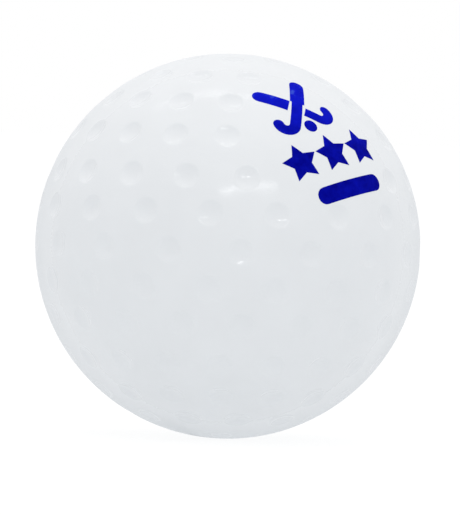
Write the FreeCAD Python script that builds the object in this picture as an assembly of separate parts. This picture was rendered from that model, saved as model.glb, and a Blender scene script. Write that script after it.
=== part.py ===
import FreeCAD, Part
import math
import os

# Field hockey ball, moulded in one piece and dimpled nearly all over. Sizes are in millimetres.
# The origin is the ball's centre. +Z points to the dimple on the upper pole and -Y is the front.
# The dimples stand in level rows around Z, the way a mould is cut on a dividing head.

ball_diameter = 73.0
dimple_diameter = 4.8
dimple_depth = 0.6

# Each row from the equator up to the pole: its latitude, how many dimples share its circle, and
# how far the first one is turned from the front towards +X, angles in degrees.
# The rows below the equator mirror those above it.
rows_from_equator = [
    (0.0, 17, 3.8),
    (11.0, 18, 14.6),
    (22.0, 19, 5.2),
    (35.5, 19, 17.5),
    (48.5, 16, 21.9),
    (61.0, 12, 9.5),
    (75.5, 6, 0.0),
    (90.0, 1, 0.0),
]

# A round field of the front is left smooth for the print: no dimple's middle stands inside it.
smooth_latitude = 37.9
smooth_turn = 33.6
smooth_reach = 25.0

full_turn = 360.0
ball_radius = ball_diameter / 2
rim_radius = dimple_diameter / 2

centre = FreeCAD.Vector(0, 0, 0)
local_x = FreeCAD.Vector(1, 0, 0)


def outward(latitude, turn):
    """Unit vector from the ball's centre, turn measured from the front towards +X."""
    level = math.cos(math.radians(latitude))
    return FreeCAD.Vector(
        level * math.sin(math.radians(turn)),
        -level * math.cos(math.radians(turn)),
        math.sin(math.radians(latitude)),
    )


def row_directions(latitude, count, first_turn):
    """One direction for each dimple of a row, evenly spaced around Z."""
    step = full_turn / count
    return [outward(latitude, first_turn + step * place) for place in range(count)]


def is_dimpled(direction):
    """Whether a direction stands clear of the smooth field."""
    field_middle = outward(smooth_latitude, smooth_turn)
    return math.degrees(direction.getAngle(field_middle)) > smooth_reach


def dimple_directions():
    """Every dimple's direction, row by row, with the lower rows mirrored from the upper ones."""
    directions = []
    for latitude, count, first_turn in rows_from_equator:
        directions += row_directions(latitude, count, first_turn)
        if latitude > 0:
            directions += row_directions(-latitude, count, first_turn)
    return [direction for direction in directions if is_dimpled(direction)]


def hollow_size():
    """Radius of the round hollow that leaves a dimple, and how far out its centre stands."""
    rim_height = math.sqrt(ball_radius ** 2 - rim_radius ** 2)
    floor_height = ball_radius - dimple_depth
    depth_below_rim = rim_height - floor_height
    hollow_radius = (rim_radius ** 2 + depth_below_rim ** 2) / (2 * depth_below_rim)
    return hollow_radius, floor_height + hollow_radius


def dimple_cutter(direction):
    """Sphere that cuts one dimple; its own seam line is turned outwards, clear of the ball."""
    hollow_radius, centre_height = hollow_size()
    cutter = Part.makeSphere(hollow_radius)
    facing = FreeCAD.Rotation(local_x, direction)
    cutter.Placement = FreeCAD.Placement(direction * centre_height, facing)
    return cutter


def make_ball():
    """The moulded ball: a sphere with every dimple pressed into it."""
    blank = Part.makeSphere(ball_radius, centre)
    cutters = [dimple_cutter(direction) for direction in dimple_directions()]
    return blank.cut(cutters).Solids[0]


os.makedirs("parts", exist_ok=True)
make_ball().exportStep("parts/ball.step")
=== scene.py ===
import math

import bmesh
import bpy
import numpy as np
from bpy.props import FloatProperty, FloatVectorProperty, PointerProperty
from mathutils import Matrix, Vector
from mathutils.geometry import delaunay_2d_cdt


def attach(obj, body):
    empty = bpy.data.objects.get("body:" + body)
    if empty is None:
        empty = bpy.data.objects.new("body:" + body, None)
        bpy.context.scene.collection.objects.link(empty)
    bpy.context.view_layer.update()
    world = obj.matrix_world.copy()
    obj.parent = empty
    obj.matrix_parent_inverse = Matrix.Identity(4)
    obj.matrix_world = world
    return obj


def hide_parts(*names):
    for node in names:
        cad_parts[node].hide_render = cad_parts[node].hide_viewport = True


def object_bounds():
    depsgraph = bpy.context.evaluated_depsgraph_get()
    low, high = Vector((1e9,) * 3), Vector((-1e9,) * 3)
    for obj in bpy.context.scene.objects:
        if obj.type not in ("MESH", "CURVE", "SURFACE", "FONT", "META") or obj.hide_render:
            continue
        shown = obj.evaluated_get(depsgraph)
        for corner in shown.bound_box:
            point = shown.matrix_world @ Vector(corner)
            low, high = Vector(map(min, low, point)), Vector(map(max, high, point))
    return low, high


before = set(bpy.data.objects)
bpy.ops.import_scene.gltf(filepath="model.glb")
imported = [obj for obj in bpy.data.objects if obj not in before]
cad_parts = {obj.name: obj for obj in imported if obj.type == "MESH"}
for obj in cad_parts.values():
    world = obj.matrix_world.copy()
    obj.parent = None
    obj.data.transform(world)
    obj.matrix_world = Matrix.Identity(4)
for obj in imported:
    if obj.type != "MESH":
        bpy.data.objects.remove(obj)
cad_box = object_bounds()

bl_info = {
    "name": "Field hockey ball",
    "version": (1, 0, 0),
    "blender": (4, 5, 0),
    "location": "3D View > Sidebar > Hockey ball",
    "description": "Makes a dimpled field hockey ball, its print and a plain studio around it",
    "category": "Add Mesh",
}

MM = 0.001

# Each row of dimples from the equator up to the pole: its latitude, the dimples in it, and the
# turn of its first one from the front (-Y) towards +X, in degrees. The lower rows mirror these.
DIMPLE_ROWS = [
    (0.0, 17, 3.8),
    (11.0, 18, 14.6),
    (22.0, 19, 5.2),
    (35.5, 19, 17.5),
    (48.5, 16, 21.9),
    (61.0, 12, 9.5),
    (75.5, 6, 0.0),
    (90.0, 1, 0.0),
]

# The vertex rings in and around a dimple, as shares of its rim's radius, closest at the rim.
RING_SHARES = (0.22, 0.43, 0.61, 0.75, 0.85, 0.915, 0.955, 0.985, 1.015, 1.05, 1.1, 1.18)
RING_POINTS = 32

# How far apart vertices stand on the land between dimples, and in the print, in millimetres.
LAND_SPACING = 1.3
PRINT_SPACING = 0.28

# The photograph: its size, and where the ball's outline stands in it, all in pixels.
IMAGE_SIZE = (460, 515)
OUTLINE_CENTRE = (227.8, 246.1)
OUTLINE_RADIUS = 192.6

# The camera: how far off it stands, in the ball's radii, and its sensor's width in millimetres.
CAMERA_DISTANCE = 30
SENSOR_WIDTH = 36

# Half the floor's side, in metres.
FLOOR_REACH = 6.0


def hex_to_linear(code):
    """sRGB hex colour as linear RGBA."""
    channels = [int(code[i:i + 2], 16) / 255 for i in (1, 3, 5)]
    linear = [c / 12.92 if c <= 0.04045 else ((c + 0.055) / 1.055) ** 2.4 for c in channels]
    return (*linear, 1.0)


def frame_diameter():
    """The ball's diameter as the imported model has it: its widest side."""
    low, high = cad_box
    return round(max(high[i] - low[i] for i in range(3)), 4)


class HockeyBallSizes(bpy.types.PropertyGroup):
    ball_diameter: FloatProperty(
        name="Ball diameter", description="Across the ball, over its smooth land",
        default=frame_diameter(), min=0.02, max=0.2, precision=4, subtype="DISTANCE", unit="LENGTH")
    dimple_diameter: FloatProperty(
        name="Dimple diameter", description="Across a dimple's rim",
        default=4.8 * MM, min=0.001, max=0.006, precision=5, subtype="DISTANCE", unit="LENGTH")
    dimple_depth: FloatProperty(
        name="Dimple depth", description="From the ball's round surface to the dimple's floor",
        default=0.6 * MM, min=0.0002, max=0.002, precision=5, subtype="DISTANCE", unit="LENGTH")
    rim_softness: FloatProperty(
        name="Rim softness", description="Depth over which a dimple's rim rolls into the land",
        default=0.14 * MM, min=0.00001, max=0.0003, precision=5, subtype="DISTANCE", unit="LENGTH")
    smooth_latitude: FloatProperty(
        name="Smooth field latitude",
        description="How far above the equator the field without dimples stands",
        default=math.radians(37.9), subtype="ANGLE", unit="ROTATION")
    smooth_turn: FloatProperty(
        name="Smooth field turn",
        description="How far the field without dimples is turned from the front",
        default=math.radians(33.6), subtype="ANGLE", unit="ROTATION")
    smooth_reach: FloatProperty(
        name="Smooth field reach", description="No dimple's middle stands nearer to the field's middle",
        default=math.radians(25.0), subtype="ANGLE", unit="ROTATION")
    print_latitude: FloatProperty(
        name="Print latitude", description="How far above the equator the print's middle stands",
        default=math.radians(29.6), subtype="ANGLE", unit="ROTATION")
    print_turn: FloatProperty(
        name="Print turn", description="How far the print's middle is turned from the front",
        default=math.radians(34.5), subtype="ANGLE", unit="ROTATION")
    print_rise: FloatProperty(
        name="Print rise", description="How far the print's lines climb from level",
        default=math.radians(15.4), subtype="ANGLE", unit="ROTATION")
    ink_thickness: FloatProperty(
        name="Ink thickness", description="How far the ink stands on the surface",
        default=0.02 * MM, min=0.000005, max=0.0001, precision=6, subtype="DISTANCE", unit="LENGTH")


class HockeyBallColours(bpy.types.PropertyGroup):
    moulded_white: FloatVectorProperty(
        name="Moulded white", description="The plastic of the ball",
        default=hex_to_linear("#E9ECEF"), size=4, min=0, max=1, subtype="COLOR")
    ink_thick: FloatVectorProperty(
        name="Ink, thick", description="The print's blue where its film is thick",
        default=hex_to_linear("#030584"), size=4, min=0, max=1, subtype="COLOR")
    # the two lighter blues stand for film that thins in patches, and also paint the overhead tube's
    # highlight across the print's top
    ink_thin_and_highlit: FloatVectorProperty(
        name="Ink, thin", description="The print's blue where its film is thin",
        default=hex_to_linear("#0E18C8"), size=4, min=0, max=1, subtype="COLOR")
    ink_worn_and_highlit: FloatVectorProperty(
        name="Ink, worn", description="The print's blue where its film hardly covers",
        default=hex_to_linear("#4C6AD4"), size=4, min=0, max=1, subtype="COLOR")
    floor_white: FloatVectorProperty(
        name="Floor white", description="The studio floor",
        default=hex_to_linear("#E8E8E8"), size=4, min=0, max=1, subtype="COLOR")


def outward(latitude, turn):
    """Unit vector from the ball's centre; turn runs from the front towards +X."""
    return np.array([
        math.cos(latitude) * math.sin(turn),
        -math.cos(latitude) * math.cos(turn),
        math.sin(latitude),
    ])


def dimple_directions(sizes):
    """Every dimple's direction, one row of the array each, the smooth field left out."""
    directions = []
    for latitude, count, first in DIMPLE_ROWS:
        for side in ((1, -1) if latitude else (1,)):
            for place in range(count):
                turn = math.radians(first + 360 * place / count)
                directions.append(outward(side * math.radians(latitude), turn))
    directions = np.array(directions)
    field = outward(sizes.smooth_latitude, sizes.smooth_turn)
    return directions[directions @ field < math.cos(sizes.smooth_reach)]


def surface_radius(points, sizes):
    """How far the moulded surface stands from the centre along each unit vector."""
    radius = sizes.ball_diameter / 2
    rim = sizes.dimple_diameter / 2
    floor_height = radius - sizes.dimple_depth
    below_rim = math.sqrt(radius ** 2 - rim ** 2) - floor_height
    hollow = (rim ** 2 + below_rim ** 2) / (2 * below_rim)
    reach = floor_height + hollow

    facing = (points @ dimple_directions(sizes).T).max(axis=1).clip(-1, 1)
    off_axis = reach * np.sqrt(1 - facing ** 2)
    # further out than this the hollow's sphere is no part of the surface
    near = off_axis < hollow * 0.98
    depth = np.full(len(points), -1.0)
    depth[near] = radius - (reach * facing[near] - np.sqrt(hollow ** 2 - off_axis[near] ** 2))

    # within this much of the rim's height the hollow and the land run into each other
    soft = sizes.rim_softness
    rounded = np.where(depth > soft, depth, (depth + soft) ** 2 / (4 * soft))
    return radius - np.where(depth < -soft, 0.0, rounded)


def tangents(direction):
    """Two unit vectors square to a direction and to each other: level and uphill."""
    up = np.array([0.0, 0.0, 1.0]) if abs(direction[2]) < 0.999 else np.array([0.0, 1.0, 0.0])
    level = np.cross(up, direction)
    level /= np.linalg.norm(level)
    return level, np.cross(direction, level)


def wrapped(direction, level, uphill, across, along, radius):
    """Unit vectors for points laid flat at a direction and wrapped onto the ball without stretch."""
    distance = np.hypot(across, along)
    angle = distance / radius
    safe = np.where(distance > 0, distance, 1)
    sideways = np.outer(across / safe, level) + np.outer(along / safe, uphill)
    return np.cos(angle)[:, None] * direction + np.sin(angle)[:, None] * sideways


def disc_points(direction, sizes):
    """A dimple's middle point and its rings, as unit vectors."""
    level, uphill = tangents(direction)
    around = np.arange(RING_POINTS) * 2 * math.pi / RING_POINTS
    rings = [direction[None, :]]
    for share in RING_SHARES:
        distance = share * sizes.dimple_diameter / 2
        across, along = distance * np.cos(around), distance * np.sin(around)
        rings.append(wrapped(direction, level, uphill, across, along, sizes.ball_diameter / 2))
    return np.vstack(rings)


def land_points(sizes):
    """Evenly spread unit vectors on the smooth land, clear of every dimple's last ring."""
    radius = sizes.ball_diameter / 2
    spacing = LAND_SPACING * MM
    # the points climb in one spiral, and each has the area that it would have among equal triangles
    cell = spacing ** 2 * 0.866
    count = int(4 * math.pi * radius ** 2 / cell)
    index = np.arange(count) + 0.5
    height = 1 - 2 * index / count
    turn = index * math.pi * (3 - math.sqrt(5))
    level = np.sqrt(1 - height ** 2)
    points = np.stack([level * np.cos(turn), level * np.sin(turn), height], axis=1)
    clear = (RING_SHARES[-1] * sizes.dimple_diameter / 2 + spacing * 0.6) / radius
    return points[(points @ dimple_directions(sizes).T).max(axis=1) < math.cos(clear)]


def disc_faces(first):
    """Faces of one dimple: a fan at its middle and quads between its rings."""
    faces = []
    for place in range(RING_POINTS):
        after = (place + 1) % RING_POINTS
        faces.append((first, first + 1 + place, first + 1 + after))
        for ring in range(len(RING_SHARES) - 1):
            inner = first + 1 + ring * RING_POINTS
            outer = inner + RING_POINTS
            faces.append((inner + place, outer + place, outer + after, inner + after))
    return faces


def land_faces(points, owner):
    """Triangles that join the dimples' last rings and the land points.

    The points are spread flat from the lowest dimple, which keeps circles round, so the flat
    triangulation is also the best one on the ball.
    """
    flat = points[:, :2] / (1 + points[:, 2:])
    result = delaunay_2d_cdt([Vector(p) for p in flat.tolist()], [], [], 0, 1e-9)
    triangles, source = result[2], result[3]
    faces = []
    for triangle in triangles:
        corners = [source[c][0] for c in triangle]
        owners = {int(owner[c]) for c in corners}
        if len(owners) > 1 or owners == {-1}:
            faces.append(corners)
    return faces


def ball_mesh(sizes):
    """The moulded skin: every dimple with its rolled rim, and the land between."""
    directions = dimple_directions(sizes)
    discs = [disc_points(direction, sizes) for direction in directions]
    land = land_points(sizes)
    disc_size = len(discs[0])
    points = np.vstack(discs + [land])
    faces = []
    for index in range(len(directions)):
        faces += disc_faces(index * disc_size)

    land_start = disc_size * len(directions)
    last_rings = [(index + 1) * disc_size - RING_POINTS + place
                  for index in range(len(directions)) for place in range(RING_POINTS)]
    keep = np.array(last_rings + list(range(land_start, len(points))))
    owner = np.where(keep < land_start, keep // disc_size, -1)
    for face in land_faces(points[keep], owner):
        faces.append(tuple(int(keep[c]) for c in face))

    placed = points * surface_radius(points, sizes)[:, None]
    mesh = bpy.data.meshes.new("ball_skin")
    mesh.from_pydata(placed.tolist(), [], faces)
    open_edges = turn_outwards(mesh)
    if open_edges:
        raise RuntimeError(f"the ball's skin has {open_edges} open edges")
    mesh.shade_smooth()
    return mesh


def turn_outwards(mesh):
    """Turns every face of a mesh around the centre outwards, and counts its open edges."""
    tidy = bmesh.new()
    tidy.from_mesh(mesh)
    for face in tidy.faces:
        if face.normal.dot(face.calc_center_median()) < 0:
            face.normal_flip()
    open_edges = sum(1 for edge in tidy.edges if len(edge.link_faces) != 2)
    tidy.to_mesh(mesh)
    tidy.free()
    return open_edges


def on_circle(centre, radius, angle):
    """The point of a circle at an angle in degrees."""
    angle = math.radians(angle)
    return centre[0] + radius * math.cos(angle), centre[1] + radius * math.sin(angle)


def arc(centre, radius, start, end, count):
    """Points along a round arc, angles in degrees."""
    return [on_circle(centre, radius, start + (end - start) * k / count) for k in range(count + 1)]


def stroke(path, width, round_start=False, round_stop=False):
    """Outline of a line of even width along a path, its ends cut square or rounded."""
    path = [Vector(p) for p in path]
    half = width / 2
    ways = [(b - a).normalized() for a, b in zip(path, path[1:])]
    sides = [ways[0]] + [(a + b).normalized() for a, b in zip(ways, ways[1:])] + [ways[-1]]
    left = [p + Vector((-w.y, w.x)) * half for p, w in zip(path, sides)]
    right = [p - Vector((-w.y, w.x)) * half for p, w in zip(path, sides)]
    outline = left + (round_end(path[-1], ways[-1], half) if round_stop else []) + right[::-1]
    outline += round_end(path[0], -ways[0], half) if round_start else []
    return [tuple(p) for p in outline]


def round_end(tip, way, half):
    """The points of a half circle past the end of a line, from its left side to its right."""
    start = math.atan2(way.y, way.x) + math.pi / 2
    angles = [start - math.pi * k / 8 for k in range(1, 8)]
    return [tip + Vector((math.cos(a), math.sin(a))) * half for a in angles]


def star(centre, outer, inner):
    """A five-pointed star with a point upwards."""
    return [on_circle(centre, (outer, inner)[k % 2], 90 + 36 * k) for k in range(10)]


def leaning(points, foot, lean, side):
    """Points of a stick drawn upright, mirrored where side is -1, then leaned and put on its foot."""
    turned = []
    for x, y in points:
        x *= side
        turned.append((foot[0] + x * math.cos(lean) + y * math.sin(lean),
                       foot[1] - x * math.sin(lean) + y * math.cos(lean)))
    return turned


def print_outlines():
    """Every shape of the print, in millimetres around its middle.

    Two crossed hockey sticks over a ball, a row of three stars, and a bar with round ends.
    """
    # a stick drawn upright: its hook, its shaft, and its wider grip
    hook = arc((1.7, 1.75), 1.7, 330, 180, 14)
    shaft, grip = 2.2, 2.9
    handle = [(0, 8.1), (0, 13.8)]
    # one stick is whole, and the other stops short on both sides of it
    lean = math.radians(42)
    whole, crossed = ((-3.95, 6.5), lean, -1), ((4.65, 6.5), -lean, 1)
    ball = arc((0.35, 6.8), 1.35, 0, 345, 23)
    bar = stroke([(-4.4, -7.0), (8.8, -7.0)], 3.3, round_start=True, round_stop=True)
    return [
        stroke(leaning(hook + handle[:1], *whole), shaft, round_start=True),
        stroke(leaning(handle, *whole), grip, round_stop=True),
        stroke(leaning(hook + [(0, 4.8)], *crossed), shaft, round_start=True),
        stroke(leaning(handle, *crossed), grip, round_stop=True),
        ball,
        bar,
        *[star((x, 0.4), 3.95, 2.1) for x in (-6.15, 1.6, 9.35)],
    ]


def spaced(outline, spacing):
    """The closed outline with points added so that none are further apart than the spacing."""
    points = []
    for (ax, ay), (bx, by) in zip(outline, outline[1:] + outline[:1]):
        count = max(1, math.ceil(math.hypot(bx - ax, by - ay) / spacing))
        points += [(ax + (bx - ax) * k / count, ay + (by - ay) * k / count) for k in range(count)]
    return points


def filled(outline, spacing):
    """Points and triangles that fill an outline finely enough to follow the ball."""
    edge = np.array(spaced(outline, spacing))
    low, high = edge.min(axis=0), edge.max(axis=0)
    # rows of points, every other one moved half a step, and none too close to the outline
    step = np.array([spacing, spacing * 0.87])
    columns, rows = np.ceil((high - low) / step).astype(int) + 1
    grid = [low + step * (column + 0.5 * (row % 2), row)
            for row in range(rows) for column in range(columns)]
    clear = [p for p in grid if np.hypot(*(edge - p).T).min() > spacing * 0.55]
    points = [Vector(p) for p in edge.tolist()] + [Vector(p.tolist()) for p in clear]
    corners, _, faces, *_ = delaunay_2d_cdt(points, [], [list(range(len(edge)))], 1, 1e-6)
    used = sorted({c for face in faces for c in face})
    order = {c: k for k, c in enumerate(used)}
    return [tuple(corners[c]) for c in used], [[order[c] for c in face] for face in faces]


def print_mesh(sizes):
    """The ink, wrapped round the ball and following its surface."""
    direction = outward(sizes.print_latitude, sizes.print_turn)
    level, uphill = tangents(direction)
    rise = sizes.print_rise
    right = math.cos(rise) * level + math.sin(rise) * uphill
    up = -math.sin(rise) * level + math.cos(rise) * uphill
    verts, faces = [], []
    for outline in print_outlines():
        points, triangles = filled(outline, PRINT_SPACING)
        start = len(verts)
        flat = np.array(points) * MM
        on_ball = wrapped(direction, right, up, flat[:, 0], flat[:, 1], sizes.ball_diameter / 2)
        lift = surface_radius(on_ball, sizes) + sizes.ink_thickness
        verts += (on_ball * lift[:, None]).tolist()
        faces += [[start + c for c in triangle] for triangle in triangles]
    mesh = bpy.data.meshes.new("print")
    mesh.from_pydata(verts, [], faces)
    turn_outwards(mesh)
    mesh.shade_smooth()
    return mesh


def add_node(tree, kind, settings=None, inputs=None, links=None):
    """Adds a node, sets its fields and sockets, and links sockets to other nodes' outputs."""
    node = tree.nodes.new(kind)
    for field, value in (settings or {}).items():
        setattr(node, field, value)
    for socket, value in (inputs or {}).items():
        node.inputs[socket].default_value = value
    for socket, output in (links or {}).items():
        tree.links.new(output, node.inputs[socket])
    return node


def new_material(name):
    """An empty node material and its tree."""
    material = bpy.data.materials.new(name)
    material.use_nodes = True
    material.node_tree.nodes.clear()
    return material, material.node_tree


def shade(colour, factor):
    """A colour made lighter or darker."""
    return (*[min(1.0, c * factor) for c in colour[:3]], 1.0)


def set_ramp(ramp, low, low_colour, high, high_colour):
    """Places a colour ramp's two ends."""
    ends = ((low, low_colour), (high, high_colour))
    for element, (place, colour) in zip(ramp.color_ramp.elements, ends):
        element.position = place
        element.color = colour


def moulded_plastic(colour, radius):
    """White polyurethane, moulded hot against a polished steel tool.

    To the eye: an even white with a hard clear gloss that draws lamps as thin lines, faint
    cloudy drifts of tone, and a fine unevenness that breaks the lines up. The hollows keep the
    tool's polish, while the land between them is rubbed a little duller.
    """
    material, tree = new_material("moulded_white_polyurethane")
    place = add_node(tree, "ShaderNodeTexCoord")
    # cloudy drifts of tone about 9 mm across
    drift = add_node(tree, "ShaderNodeTexNoise", None,
                     {"Scale": 110.0, "Detail": 3.0, "Roughness": 0.55},
                     {"Vector": place.outputs["Object"]})
    tone = add_node(tree, "ShaderNodeValToRGB", None, None, {"Fac": drift.outputs["Fac"]})
    set_ramp(tone, 0.3, shade(colour, 0.985), 0.7, shade(colour, 1.01))
    # the tool's fine grain, drawn about 0.6 mm across so that it shows
    grain = add_node(tree, "ShaderNodeTexNoise", None,
                     {"Scale": 1600.0, "Detail": 2.0, "Roughness": 0.5},
                     {"Vector": place.outputs["Object"]})
    # the land is rubbed duller by this much, and the hollows not at all from 0.2 mm down
    height = add_node(tree, "ShaderNodeVectorMath", {"operation": "LENGTH"}, None,
                      {0: place.outputs["Object"]})
    rubbed = add_node(tree, "ShaderNodeMapRange", None,
                      {"From Min": radius, "From Max": radius - 0.2 * MM, "To Min": 0.08, "To Max": 0.0},
                      {"Value": height.outputs["Value"]})
    gloss = add_node(tree, "ShaderNodeMapRange", None,
                     {"From Min": 0.3, "From Max": 0.7, "To Min": 0.05, "To Max": 0.08},
                     {"Value": grain.outputs["Fac"]})
    dulled = add_node(tree, "ShaderNodeMath", {"operation": "ADD"}, None,
                      {0: gloss.outputs["Result"], 1: rubbed.outputs["Result"]})
    # fine scuffs stand in each other's way when seen nearly edge on, so the sheen fades there
    facing = add_node(tree, "ShaderNodeLayerWeight", None, {"Blend": 0.5})
    edge = add_node(tree, "ShaderNodeMapRange", {"interpolation_type": "SMOOTHSTEP"},
                    {"From Min": 0.45, "From Max": 0.95, "To Min": 0.0, "To Max": 0.6},
                    {"Value": facing.outputs["Facing"]})
    rough = add_node(tree, "ShaderNodeMath", {"operation": "ADD"}, None,
                     {0: dulled.outputs["Value"], 1: edge.outputs["Result"]})
    # the skin sinks a little unevenly as it cools, in waves about 5 mm long
    waves = add_node(tree, "ShaderNodeTexNoise", None, {"Scale": 200.0, "Detail": 1.0},
                     {"Vector": place.outputs["Object"]})
    sunk = add_node(tree, "ShaderNodeBump", None, {"Strength": 1.0, "Distance": 0.1 * MM},
                    {"Height": waves.outputs["Fac"]})
    bump = add_node(tree, "ShaderNodeBump", None, {"Strength": 1.0, "Distance": 0.012 * MM},
                    {"Height": grain.outputs["Fac"], "Normal": sunk.outputs["Normal"]})
    skin = add_node(tree, "ShaderNodeBsdfPrincipled", None,
                    {"IOR": 1.5, "Metallic": 0.0},
                    {"Base Color": tone.outputs["Color"], "Roughness": rough.outputs["Value"],
                     "Normal": bump.outputs["Normal"]})
    add_node(tree, "ShaderNodeOutputMaterial", None, None, {"Surface": skin.outputs["BSDF"]})
    return material


def pad_printed_ink(thick, thin, worn):
    """Deep blue pad-printing ink, pressed on with a silicone pad and dried.

    To the eye: a dense blue film with a soft sheen, thinner and lighter in patches where the white shows
    through in places.
    Its top is made lighter as well: a painted highlight where the overhead tube's reflection falls.
    """
    material, tree = new_material("pad_printed_blue_ink")
    place = add_node(tree, "ShaderNodeTexCoord")
    # the film thins in patches about 2 mm across
    film = add_node(tree, "ShaderNodeTexNoise", None,
                    {"Scale": 500.0, "Detail": 4.0, "Roughness": 0.6},
                    {"Vector": place.outputs["Object"]})
    corner = add_node(tree, "ShaderNodeSeparateXYZ", None, None, {"Vector": place.outputs["Object"]})
    # painted highlight: the blue is made lighter towards the print's top, where the overhead tube's
    # reflection falls
    painted_highlight_top = add_node(tree, "ShaderNodeMapRange", None,
                     {"From Min": 19 * MM, "From Max": 29 * MM, "To Min": 0.0, "To Max": 0.6},
                     {"Value": corner.outputs["Z"]})
    patches = add_node(tree, "ShaderNodeMapRange", None,
                       {"From Min": 0.35, "From Max": 0.75, "To Min": 0.0, "To Max": 0.4},
                       {"Value": film.outputs["Fac"]})
    # the film's thinning in patches, plus the painted highlight at the top
    thinness_and_highlight = add_node(tree, "ShaderNodeMath", {"operation": "ADD"}, None,
                        {0: painted_highlight_top.outputs["Result"], 1: patches.outputs["Result"]})
    tone = add_node(tree, "ShaderNodeValToRGB", None, None, {"Fac": thinness_and_highlight.outputs["Value"]})
    # from thick film to the lighter blues, which show both thin film and the painted highlight
    set_ramp(tone, 0.0, thick, 1.0, worn)
    tone.color_ramp.elements.new(0.8).color = thin
    sheen = add_node(tree, "ShaderNodeMapRange", None,
                     {"From Min": 0.3, "From Max": 0.7, "To Min": 0.28, "To Max": 0.4},
                     {"Value": film.outputs["Fac"]})
    ink = add_node(tree, "ShaderNodeBsdfPrincipled", None,
                   {"IOR": 1.45, "Specular IOR Level": 0.005, "Metallic": 0.0},
                   {"Base Color": tone.outputs["Color"], "Roughness": sheen.outputs["Result"]})
    add_node(tree, "ShaderNodeOutputMaterial", None, None, {"Surface": ink.outputs["BSDF"]})
    return material


def seen_directly(tree):
    """1 for rays from the camera, or by way of a mirror or glass; 0 for light that bounces about."""
    path = add_node(tree, "ShaderNodeLightPath")
    either = add_node(tree, "ShaderNodeMath", {"operation": "MAXIMUM"}, None,
                      {0: path.outputs["Is Camera Ray"], 1: path.outputs["Is Glossy Ray"]})
    return add_node(tree, "ShaderNodeMath", {"operation": "MAXIMUM"}, None,
                    {0: either.outputs[0], 1: path.outputs["Is Transmission Ray"]}).outputs[0]


def light_table(colour):
    """Opal acrylic sheet with a matt rolled face, lit evenly from below.

    To the eye: plain white that hardly darkens under the ball, and lights the ball's underside.
    """
    material, tree = new_material("opal_acrylic_sheet")
    place = add_node(tree, "ShaderNodeTexCoord")
    # a faint unevenness about 1 mm across; three tenths of the sheet's white scatter lamplight
    haze = add_node(tree, "ShaderNodeTexNoise", None, {"Scale": 900.0, "Detail": 2.0},
                    {"Vector": place.outputs["Object"]})
    tone = add_node(tree, "ShaderNodeValToRGB", None, None, {"Fac": haze.outputs["Fac"]})
    set_ramp(tone, 0.3, shade(colour, 0.297), 0.7, shade(colour, 0.3))
    lit = add_node(tree, "ShaderNodeBsdfDiffuse", None, None, {"Color": tone.outputs["Color"]})
    glow = add_node(tree, "ShaderNodeEmission", None,
                    {"Color": (0.96, 0.975, 0.985, 1.0), "Strength": 0.67})
    table = add_node(tree, "ShaderNodeAddShader", None, None, {0: lit.outputs[0], 1: glow.outputs[0]})
    bright = add_node(tree, "ShaderNodeEmission", None, {"Strength": 0.81})
    plain = add_node(tree, "ShaderNodeAddShader", None, None, {0: lit.outputs[0], 1: bright.outputs[0]})
    mixed = add_node(tree, "ShaderNodeMixShader", None, None,
                     {0: seen_directly(tree), 1: table.outputs[0], 2: plain.outputs[0]})
    add_node(tree, "ShaderNodeOutputMaterial", None, None, {"Surface": mixed.outputs[0]})
    return material


def place_piece(name, mesh, material):
    """An object for a mesh, linked to the scene, with its one material."""
    piece = bpy.data.objects.new(name, mesh)
    mesh.materials.clear()
    mesh.materials.append(material)
    bpy.context.scene.collection.objects.link(piece)
    return piece


def camera_axes():
    """The camera's right, up and back: a little above level, the ball's pole leaning right."""
    height, lean = math.radians(1.7), math.radians(2.0)
    side = Vector((1, 0, 0))
    back = Vector((0, -math.cos(height), math.sin(height)))
    rise = back.cross(side)
    right = math.cos(lean) * side + math.sin(lean) * rise
    up = math.cos(lean) * rise - math.sin(lean) * side
    return right, up, back


def make_camera(radius):
    """A long lens, set so that the ball's outline falls where the photograph has it."""
    right, up, back = camera_axes()
    distance = CAMERA_DISTANCE * radius
    focal = OUTLINE_RADIUS * math.sqrt(distance ** 2 - radius ** 2) / radius
    data = bpy.data.cameras.new("camera")
    data.sensor_fit = "AUTO"
    data.sensor_width = SENSOR_WIDTH
    data.lens = SENSOR_WIDTH * focal / max(IMAGE_SIZE)
    data.clip_end = 50
    camera = bpy.data.objects.new("camera", data)
    per_pixel = distance / focal
    across = (IMAGE_SIZE[0] / 2 - OUTLINE_CENTRE[0]) * per_pixel
    down = (IMAGE_SIZE[1] / 2 - OUTLINE_CENTRE[1]) * per_pixel
    spot = back * distance + right * across - up * down
    turned = Matrix((right, up, back)).transposed().to_4x4()
    camera.matrix_world = Matrix.Translation(spot) @ turned
    bpy.context.scene.collection.objects.link(camera)
    bpy.context.scene.camera = camera


def make_lamp(name, start, end, width, radiance, colour=(1, 1, 1)):
    """A long area lamp between two points, facing the ball, of a given brightness."""
    start, end = Vector(start), Vector(end)
    along = (end - start).normalized()
    middle = (start + end) / 2
    facing = (middle - middle.dot(along) * along).normalized()
    data = bpy.data.lights.new(name, "AREA")
    data.shape = "RECTANGLE"
    data.size = (end - start).length
    data.size_y = width
    data.color = colour
    data.energy = radiance * math.pi * data.size * data.size_y
    lamp = bpy.data.objects.new(name, data)
    turned = Matrix((along, facing.cross(along), facing)).transposed().to_4x4()
    lamp.matrix_world = Matrix.Translation(middle) @ turned
    bpy.context.scene.collection.objects.link(lamp)
    return lamp


def from_camera(x, y, z):
    """A point given along the camera's right, up and back, from the ball's centre."""
    right, up, back = camera_axes()
    return right * x + up * y + back * z


def make_floor(radius, colour):
    """A wide level sheet that the ball rests on."""
    corners = [(FLOOR_REACH * x, FLOOR_REACH * y, -radius)
               for x, y in ((-1, -1), (1, -1), (1, 1), (-1, 1))]
    mesh = bpy.data.meshes.new("floor")
    mesh.from_pydata(corners, [], [(0, 1, 2, 3)])
    place_piece("floor", mesh, light_table(colour))


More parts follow.
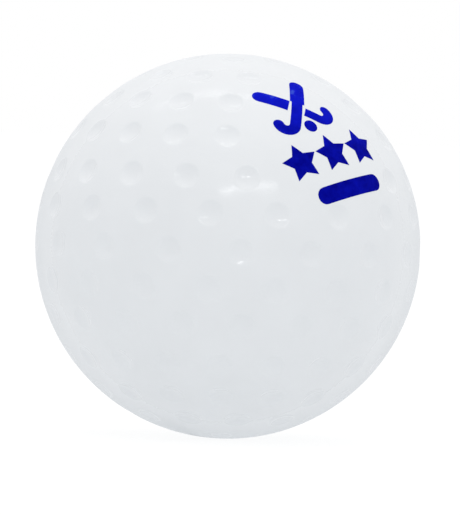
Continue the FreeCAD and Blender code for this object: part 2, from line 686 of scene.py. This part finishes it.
def make_lamps():
    """Two bare tubes that the gloss draws as thin lines, and a broad ceiling that only lights."""
    make_lamp("tube_overhead", from_camera(-0.55, 1.0, -0.31), from_camera(0.28, 1.0, -0.156),
              width=0.02, radiance=4.0)
    make_lamp("tube_front", from_camera(-0.07, 0.635, 1.0), from_camera(0.65, 0.776, 1.0),
              width=0.045, radiance=6.5)
    ceiling = make_lamp("soft_top", (-0.6, 0.0, 1.5), (0.6, 0.0, 1.5),
                        width=1.2, radiance=1.07, colour=(1.0, 0.95, 0.89))
    # the gloss shows the white room in its place
    ceiling.visible_glossy = False


def make_world():
    """An even pale room, seen as plain white."""
    world = bpy.data.worlds.new("studio")
    world.use_nodes = True
    tree = world.node_tree
    tree.nodes.clear()
    room = add_node(tree, "ShaderNodeBackground", None,
                    {"Color": (0.98, 0.982, 0.99, 1.0), "Strength": 0.865})
    white = add_node(tree, "ShaderNodeBackground", None,
                     {"Color": (1.0, 1.0, 1.0, 1.0), "Strength": 1.0})
    mixed = add_node(tree, "ShaderNodeMixShader", None, None,
                     {0: seen_directly(tree), 1: room.outputs[0], 2: white.outputs[0]})
    add_node(tree, "ShaderNodeOutputWorld", None, None, {"Surface": mixed.outputs[0]})
    bpy.context.scene.world = world


class HOCKEYBALL_OT_skin(bpy.types.Operator):
    """Make the moulded ball with all its dimples"""
    bl_idname = "hockeyball.skin"
    bl_label = "Moulded ball"

    def execute(self, context):
        sizes = context.scene.hockeyball_sizes
        colours = context.scene.hockeyball_colours
        plastic = moulded_plastic(colours.moulded_white, sizes.ball_diameter / 2)
        piece = place_piece("ball_skin", ball_mesh(sizes), plastic)
        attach(piece, "root")
        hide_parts("ball")
        return {"FINISHED"}


class HOCKEYBALL_OT_print(bpy.types.Operator):
    """Make the blue print on the ball"""
    bl_idname = "hockeyball.print"
    bl_label = "Blue print"

    def execute(self, context):
        sizes = context.scene.hockeyball_sizes
        colours = context.scene.hockeyball_colours
        ink = pad_printed_ink(colours.ink_thick, colours.ink_thin_and_highlit, colours.ink_worn_and_highlit)
        piece = place_piece("print", print_mesh(sizes), ink)
        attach(piece, "root")
        return {"FINISHED"}


class HOCKEYBALL_OT_stage(bpy.types.Operator):
    """Make the floor, the lamps, the room and the camera"""
    bl_idname = "hockeyball.stage"
    bl_label = "Studio"

    def execute(self, context):
        radius = context.scene.hockeyball_sizes.ball_diameter / 2
        make_floor(radius, context.scene.hockeyball_colours.floor_white)
        make_world()
        make_camera(radius)
        context.scene.view_settings.view_transform = "Standard"
        make_lamps()
        return {"FINISHED"}


class HOCKEYBALL_PT_panel(bpy.types.Panel):
    """Sizes, colours and steps of the hockey ball"""
    bl_idname = "HOCKEYBALL_PT_panel"
    bl_label = "Hockey ball"
    bl_space_type = "VIEW_3D"
    bl_region_type = "UI"
    bl_category = "Hockey ball"

    def draw(self, context):
        layout = self.layout
        for group in (context.scene.hockeyball_sizes, context.scene.hockeyball_colours):
            box = layout.box()
            for name in group.__annotations__:
                box.prop(group, name)
        for operator in (HOCKEYBALL_OT_skin, HOCKEYBALL_OT_print, HOCKEYBALL_OT_stage):
            layout.operator(operator.bl_idname)


CLASSES = (
    HockeyBallSizes,
    HockeyBallColours,
    HOCKEYBALL_OT_skin,
    HOCKEYBALL_OT_print,
    HOCKEYBALL_OT_stage,
    HOCKEYBALL_PT_panel,
)


def register():
    """Adds the classes and the scene's settings."""
    for cls in CLASSES:
        bpy.utils.register_class(cls)
    bpy.types.Scene.hockeyball_sizes = PointerProperty(type=HockeyBallSizes)
    bpy.types.Scene.hockeyball_colours = PointerProperty(type=HockeyBallColours)


def unregister():
    """Takes the settings and the classes away again."""
    del bpy.types.Scene.hockeyball_colours
    del bpy.types.Scene.hockeyball_sizes
    for cls in reversed(CLASSES):
        bpy.utils.unregister_class(cls)


def main():
    """Makes the ball, its print and the studio, and keeps the sizes."""
    register()
    bpy.ops.hockeyball.skin()
    bpy.ops.hockeyball.print()
    bpy.ops.hockeyball.stage()


if __name__ == "__main__":
    main()
